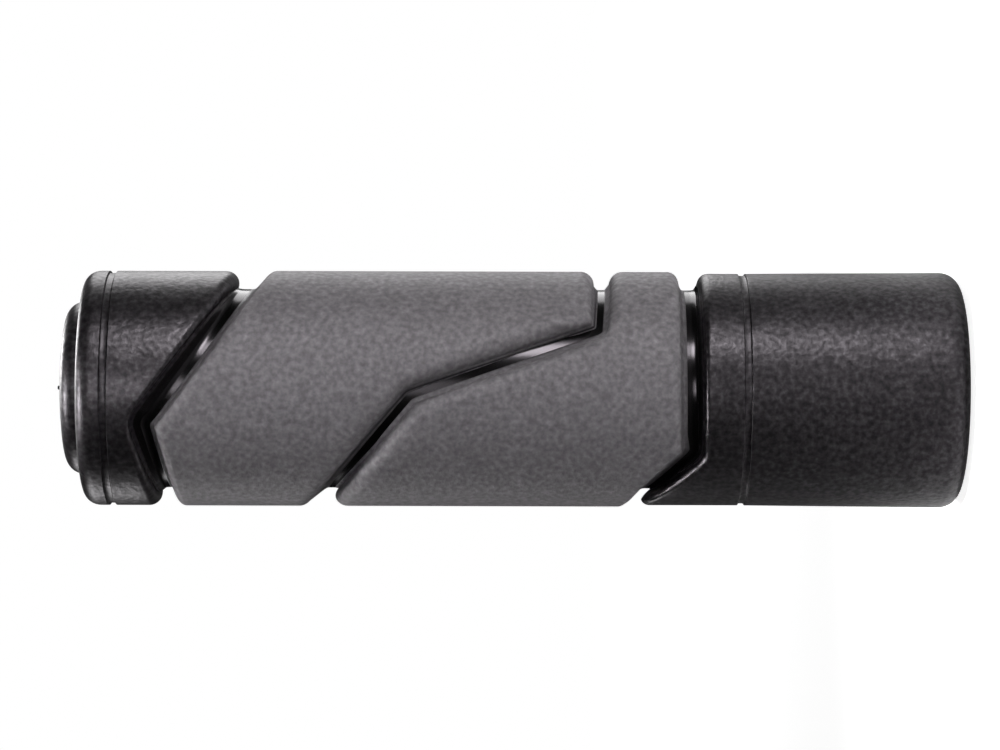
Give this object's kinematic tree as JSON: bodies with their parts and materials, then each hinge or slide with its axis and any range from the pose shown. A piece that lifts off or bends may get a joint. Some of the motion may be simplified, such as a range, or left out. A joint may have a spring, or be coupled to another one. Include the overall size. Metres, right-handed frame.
{
  "type": "handlebar grip",
  "caption": "Moulded two-colour rubber handlebar grip with a domed closed end, two raised grey bands with bent grooves between black ends, and a blind bore that slides over a bar end.",
  "frame": {"origin": "centre of the flat face of the open end, on the bore's axis", "axes": "+Z along the bore's axis from the open end to the domed end; +X towards the side where the middle groove runs level, which is the upper edge in the picture; -Y towards the camera"},
  "size_m": [0.032, 0.032, 0.1227],
  "materials": {
    "black_rubber": "fine spark-eroded texture on the raised lands, smooth and glossy in the grooves",
    "grey_rubber": "fine matte spark-eroded texture"
  },
  "bodies": {
    "root": {"grip_body": "black_rubber", "outer_grey_band": "grey_rubber", "inner_grey_band": "grey_rubber"}
  },
  "joints": []
}
